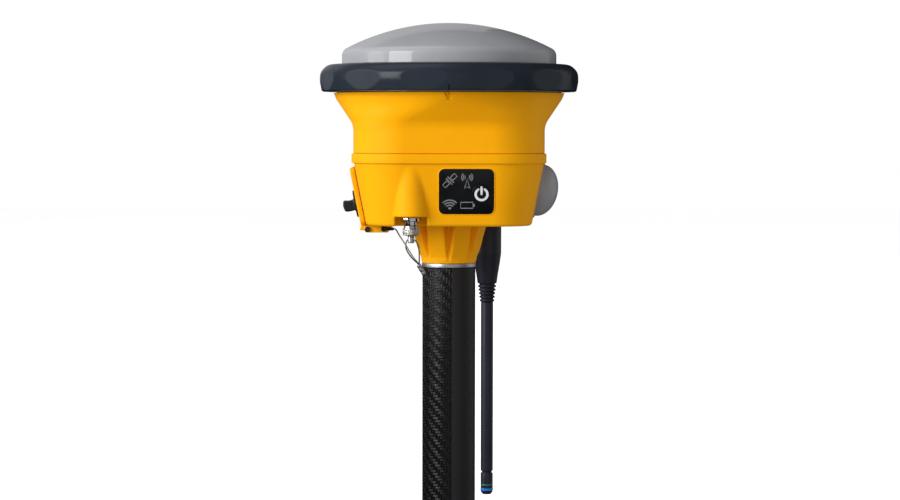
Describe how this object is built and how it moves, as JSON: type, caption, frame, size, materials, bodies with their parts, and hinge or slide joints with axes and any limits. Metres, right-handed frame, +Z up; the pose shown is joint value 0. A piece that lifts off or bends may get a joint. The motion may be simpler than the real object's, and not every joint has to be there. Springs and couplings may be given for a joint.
{
  "type": "gnss receiver",
  "caption": "Pole-mounted satellite survey receiver: domed radome with bumper ring over a tapered housing, battery door, control panel, whip aerial, on a carbon pole section",
  "frame": {"origin": "centre of the pole section's bottom face, where the next pole section holds it", "axes": "+Z up along the pole, -Y towards the control panel (front), -X towards the battery door"},
  "size_m": [0.139, 0.139, 0.2788],
  "materials": {
    "yellow_housing": "finely textured moulded yellow plastic",
    "radome_grey": "satin light grey plastic",
    "bumper": "smooth dark rubber",
    "side_cover_grey": "satin mid-grey plastic",
    "panel_black": "satin black membrane",
    "seal": "matt black rubber",
    "black_plastic": "satin black plastic",
    "battery_case": "matt dark plastic",
    "steel": "turned stainless steel",
    "chrome_jack": "bright plating",
    "brass": "machined",
    "aluminium": "turned, clear anodised",
    "carbon": "carbon-fibre weave under clear coat",
    "circuit_board": "green solder mask",
    "ceramic": "unglazed ceramic",
    "tin": "tinned steel sheet",
    "band_green": "satin",
    "band_blue": "satin"
  },
  "bodies": {
    "pole": {"pole_tube": "carbon", "pole_top_ferrule": "aluminium", "pole_bottom_ferrule": "aluminium"},
    "receiver": {"lower_housing": "yellow_housing", "upper_housing": "yellow_housing", "pole_neck": "yellow_housing", "hinge_bracket": "yellow_housing", "radome": "radome_grey", "bumper_ring": "bumper", "side_cover": "side_cover_grey", "control_panel": "panel_black", "housing_gasket": "seal", "radome_gasket": "seal", "side_cover_seal": "seal", "door_seal": "seal", "battery_bay": "black_plastic", "lanyard_screw": "black_plastic", "lanyard_lug": "black_plastic", "front_coax": "black_plastic", "rear_coax": "black_plastic", "battery_pack": "battery_case", "case_screw_1": "steel", "case_screw_2": "steel", "case_screw_3": "steel", "case_screw_4": "steel", "bracket_screw_front": "steel", "bracket_screw_rear": "steel", "hinge_pin": "steel", "port_flap_hinge": "steel", "data_port": "steel", "lanyard_cable": "steel", "lanyard_loop": "steel", "lanyard_ferrule": "steel", "front_jack": "chrome_jack", "rear_jack": "chrome_jack", "threaded_insert": "brass", "antenna_patch": "brass", "battery_contacts": "brass", "main_board": "circuit_board", "ground_plane": "circuit_board", "key_board": "circuit_board", "side_antenna": "circuit_board", "antenna_base": "ceramic", "amplifier_shield": "tin", "shield_can": "tin", "radio_module": "tin", "key_switch": "tin"},
    "door": {"battery_door": "yellow_housing"},
    "latch": {"latch_knob": "black_plastic", "latch_cam": "steel"},
    "button": {"power_button": "panel_black"},
    "flap": {"port_flap": "seal"},
    "cap_core": {"dust_cap_core": "steel"},
    "cap_ring": {"dust_cap_ring": "steel"},
    "whip_base": {"antenna_boot": "black_plastic"},
    "whip": {"antenna_relief": "black_plastic", "antenna_whip": "black_plastic", "antenna_tip": "black_plastic", "antenna_band_green": "band_green", "antenna_band_blue": "band_blue"}
  },
  "joints": [
    {"name": "receiver_lift", "type": "slide", "parent": "pole", "child": "receiver", "axis": [0, 0, 1], "range_m": [0, 0.022]},
    {"name": "door_hinge", "type": "hinge", "parent": "receiver", "child": "door", "pos_m": [-0.0431, 0, 0.1689], "axis": [0, -1, 0], "range_deg": [0, 100]},
    {"name": "latch_turn", "type": "hinge", "parent": "door", "child": "latch", "pos_m": [-0.04612, 0, 0.1825], "axis": [-0.9806, 0, -0.1961], "range_deg": [0, 90]},
    {"name": "power_press", "type": "slide", "parent": "receiver", "child": "button", "axis": [0, 0.9806, 0.1961], "range_m": [0, 0.0006], "stiffness_N_per_m": 1500},
    {"name": "flap_hinge", "type": "hinge", "parent": "receiver", "child": "flap", "pos_m": [-0.016, 0.05055, 0.19702], "axis": [1, 0, 0], "range_deg": [0, 110]},
    {"name": "cap_travel", "type": "slide", "parent": "receiver", "child": "cap_core", "axis": [0, 0, -1], "range_m": [0, 0.00423], "deforming": ["lanyard_loop", "lanyard_cable"]},
    {"name": "cap_turn", "type": "hinge", "parent": "cap_core", "child": "cap_ring", "pos_m": [-0.0198, -0.0423, 0.1687], "axis": [0, 0, -1], "range_deg": [0, 2160]},
    {"name": "whip_turn", "type": "hinge", "parent": "receiver", "child": "whip_base", "pos_m": [0.0212, 0.0423, 0.17], "axis": [0, 0, 1], "range_deg": [-180, 180]},
    {"name": "whip_flex", "type": "hinge", "parent": "whip_base", "child": "whip", "pos_m": [0.0212, 0.0423, 0.1314], "axis": [0, 1, 0], "range_deg": [-25, 25], "stiffness_Nm_per_rad": 0.3, "deforming": ["antenna_relief"]}
  ],
  "couplings": [
    {"joint": "cap_turn", "follows": "cap_travel", "rad_per_m": 8904.7}
  ]
}
